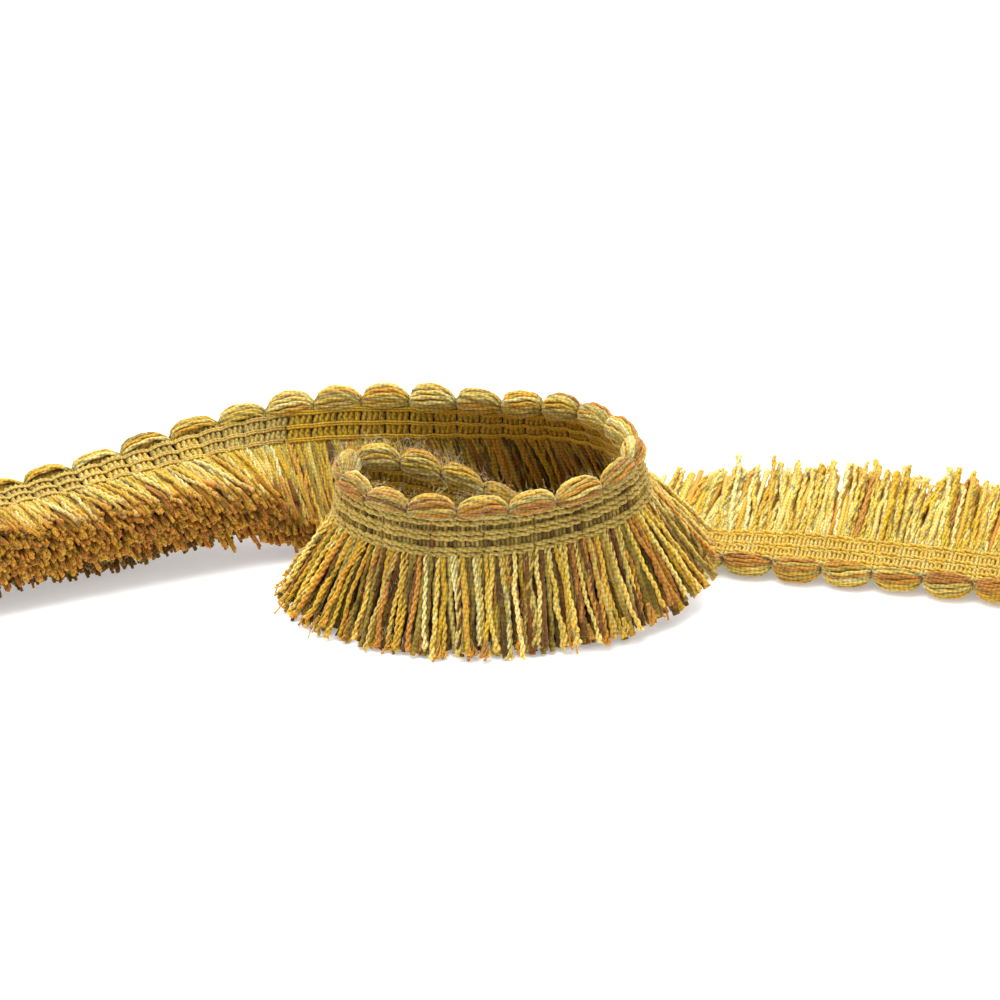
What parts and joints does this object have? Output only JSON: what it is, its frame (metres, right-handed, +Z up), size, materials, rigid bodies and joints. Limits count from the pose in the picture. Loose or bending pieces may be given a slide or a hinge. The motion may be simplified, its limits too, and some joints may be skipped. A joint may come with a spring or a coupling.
{
  "type": "brush fringe trim",
  "caption": "Cut length of thick brush fringe with a woven heading and scalloped yarn edge, curled into a standing ring with two ends lying flat.",
  "frame": {"origin": "middle of the foot of the bounding box, on the surface the trim lies on", "axes": "+X along the trim's two lying ends, from the left end to the right; +Y towards the back of the ring; +Z up"},
  "size_m": [0.3686, 0.1149, 0.05],
  "materials": {
    "scallop_yarn": "soft plied cotton and rayon yarn, slightly hairy, matt with a faint sheen",
    "heading_yarn": "woven olive gold cords over fine ribs, matt",
    "brush_yarn": "cut pile of mixed golden, olive, straw and rust plied yarns, matt"
  },
  "bodies": {
    "root": {"scallop_edge": "scallop_yarn", "heading": "heading_yarn", "brush_wall": "brush_yarn", "locks_left": "brush_yarn", "locks_ring": "brush_yarn", "locks_right": "brush_yarn"}
  },
  "joints": []
}
